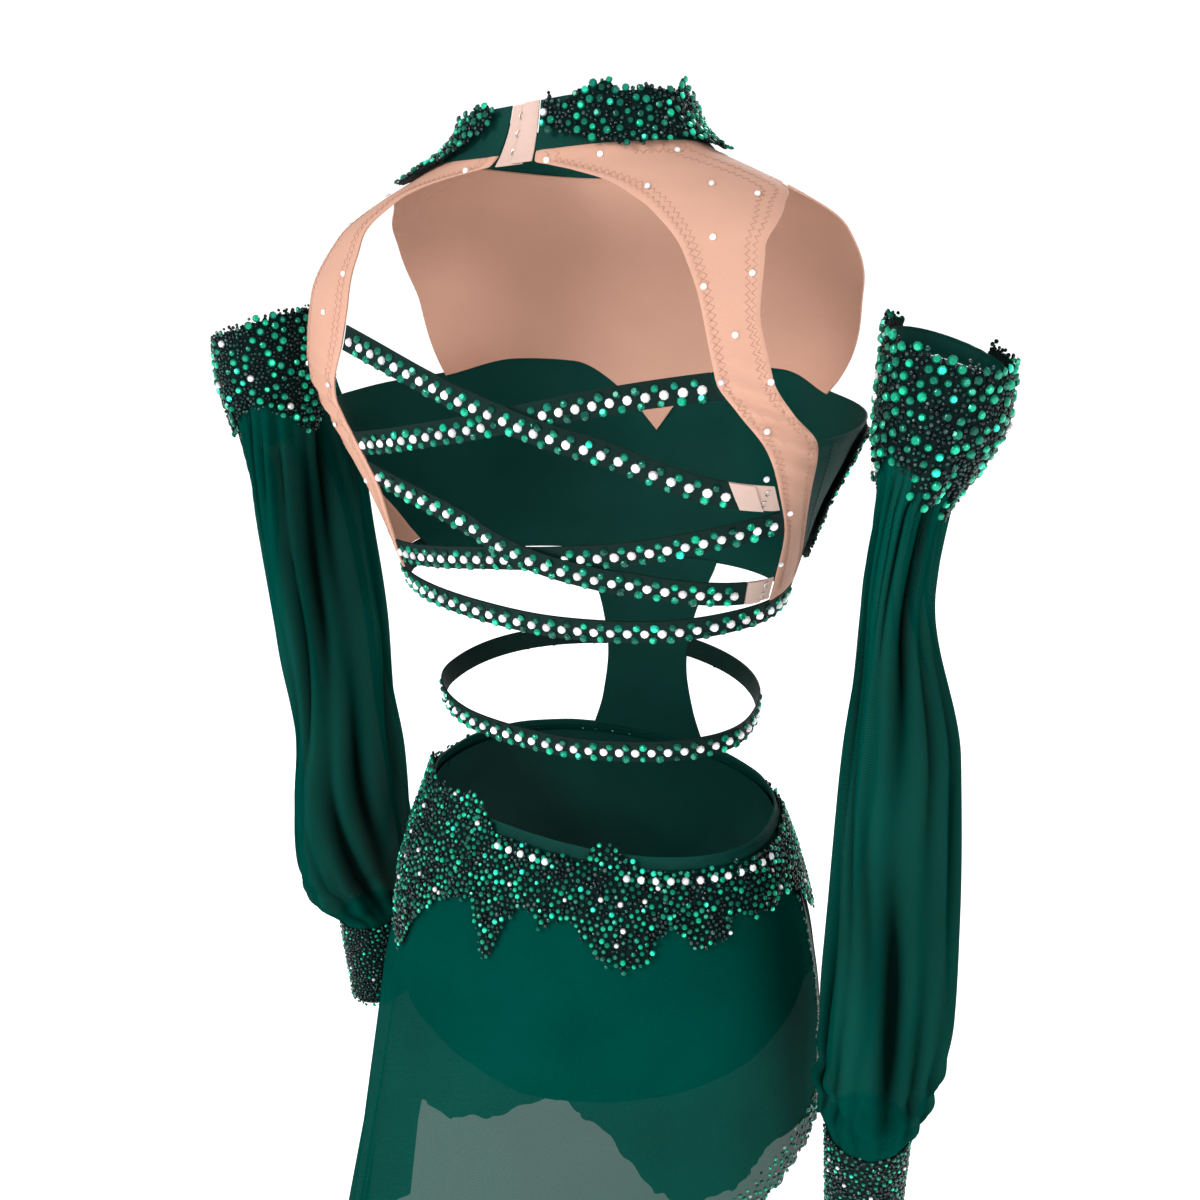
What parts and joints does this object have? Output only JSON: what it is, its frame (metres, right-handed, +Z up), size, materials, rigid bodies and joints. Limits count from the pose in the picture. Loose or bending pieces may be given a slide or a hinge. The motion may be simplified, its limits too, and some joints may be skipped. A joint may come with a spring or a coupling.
{
  "type": "lyrical dance dress",
  "caption": "Lyrical dance dress as worn: high collar, strapped open back, sheer slit skirt and loose sleeves with beaded lace.",
  "frame": {"origin": "on the axis of the neck at the height of the nape, the mount worn_on_neck", "axes": "+Z up along the worn dress, +Y to the back, +X to the wearer's left, so the front faces -Y"},
  "size_m": [0.5504, 0.3647, 1.0467],
  "materials": {
    "sheer_mesh": "sheer stretch mesh, matt",
    "stretch_green": "opaque stretch fabric, soft sheen",
    "nude_mesh": "power mesh with zigzag stitching, matt",
    "beadwork": "beaded lace with faceted stones",
    "tape": "sheer nude hook-and-eye tape"
  },
  "bodies": {
    "root": {"collar_band": "stretch_green", "collar_eye_tape": "tape", "collar_hook_tape": "tape", "collar_applique_right": "beadwork", "collar_applique_left": "beadwork", "yoke_back_right": "nude_mesh", "yoke_back_left": "nude_mesh", "yoke_front": "nude_mesh", "cup_right": "stretch_green", "bodice_applique_right": "beadwork", "cup_left": "stretch_green", "bodice_applique_left": "beadwork", "strap_upper_over": "stretch_green", "strap_upper_under": "stretch_green", "strap_lower_over": "stretch_green", "strap_lower_under": "stretch_green", "strap_underbust": "stretch_green", "strap_waist": "stretch_green", "eye_tape_upper": "tape", "hook_tape_upper": "tape", "eye_tape_lower": "tape", "hook_tape_lower": "tape", "front_panel": "stretch_green", "waistband": "stretch_green", "brief_back": "stretch_green", "brief_front": "stretch_green", "brief_gusset": "stretch_green", "skirt_back": "sheer_mesh", "skirt_front": "sheer_mesh", "hip_applique_left": "beadwork", "hip_applique_back": "beadwork", "hip_applique_right": "beadwork", "hip_applique_front": "beadwork", "sleeve_band_right": "stretch_green", "sleeve_right": "sheer_mesh", "sleeve_applique_right": "beadwork", "cuff_right": "beadwork", "sleeve_band_left": "stretch_green", "sleeve_left": "sheer_mesh", "sleeve_applique_left": "beadwork", "cuff_left": "beadwork"}
  },
  "joints": []
}
